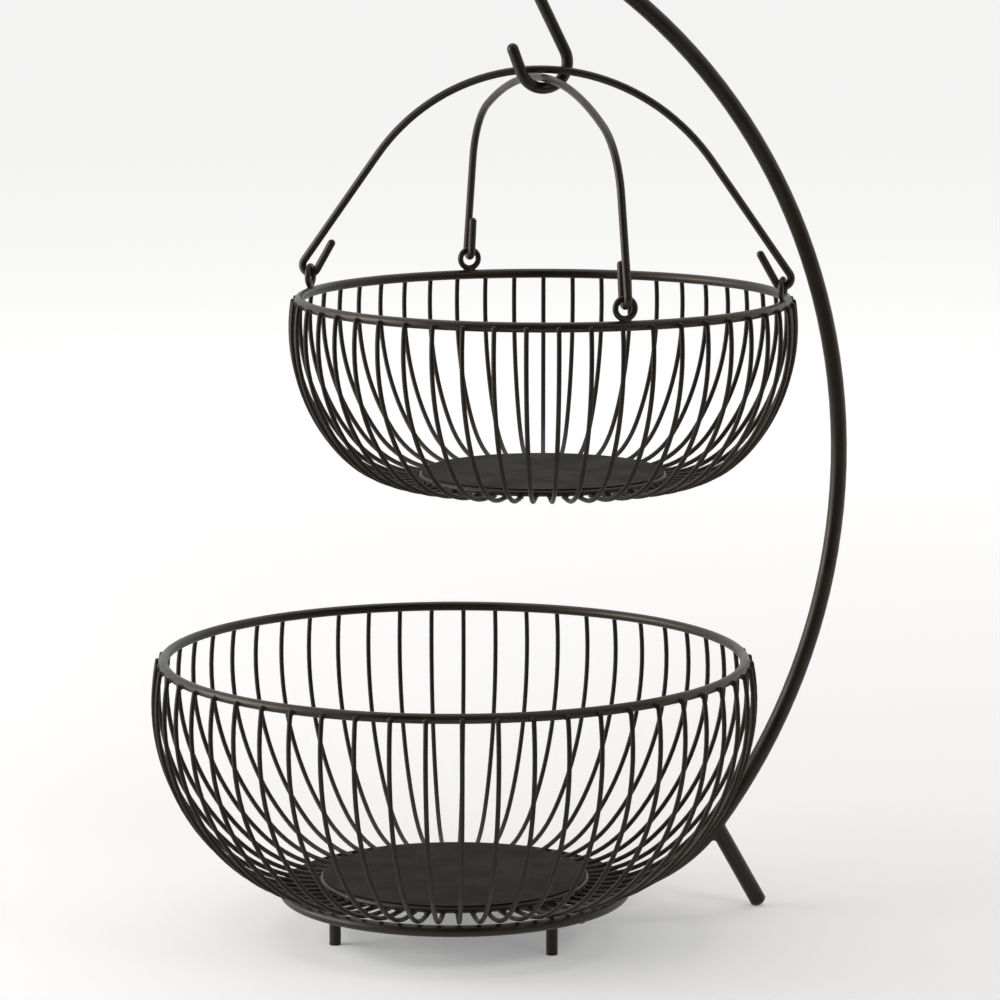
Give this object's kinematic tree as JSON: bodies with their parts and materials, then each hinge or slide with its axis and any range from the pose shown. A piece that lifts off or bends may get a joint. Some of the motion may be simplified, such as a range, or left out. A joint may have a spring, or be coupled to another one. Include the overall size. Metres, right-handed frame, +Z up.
{
  "type": "two-tier wire fruit basket",
  "caption": "Wire fruit stand: a loose lower bowl rests in a ring base, and an upper bowl hangs by two crossing handles from a hook under an arched pole.",
  "frame": {"origin": "on the table, under the middle of the object's outline", "axes": "+Z is up. The pole rises on the +X side, in the plane Y = 0. -Y is the front, nearest the picture's camera."},
  "size_m": [0.3772, 0.313, 0.5378],
  "materials": {
    "frame_wire": "satin dark brown-black powder coat on steel rod",
    "rib_wire": "satin dark brown-black powder coat on thin steel wire"
  },
  "bodies": {
    "stand": {"pole": "frame_wire", "pole_foot": "frame_wire", "rear_leg": "frame_wire", "base_ring": "frame_wire", "base_spokes": "frame_wire", "feet": "frame_wire", "hook": "frame_wire"},
    "lower_basket": {"lower_rim": "frame_wire", "lower_ribs": "rib_wire", "lower_bottom_ring": "frame_wire", "lower_floor": "frame_wire"},
    "hanging_basket": {"upper_rim": "frame_wire", "upper_ribs": "rib_wire", "upper_bottom_ring": "frame_wire", "upper_floor": "frame_wire", "eye_front": "frame_wire", "eye_back": "frame_wire", "eye_left": "frame_wire", "eye_right": "frame_wire", "long_bail": "frame_wire", "side_bail": "frame_wire"}
  },
  "joints": [
    {"name": "basket_swing", "type": "hinge", "parent": "stand", "child": "hanging_basket", "pos_m": [0.01669, 0, 0.4443], "axis": [0, 1, 0], "range_deg": [-6, 10]},
    {"name": "lower_basket_lift", "type": "slide", "parent": "stand", "child": "lower_basket", "axis": [0, 0, 1], "range_m": [0, 0.06]}
  ]
}
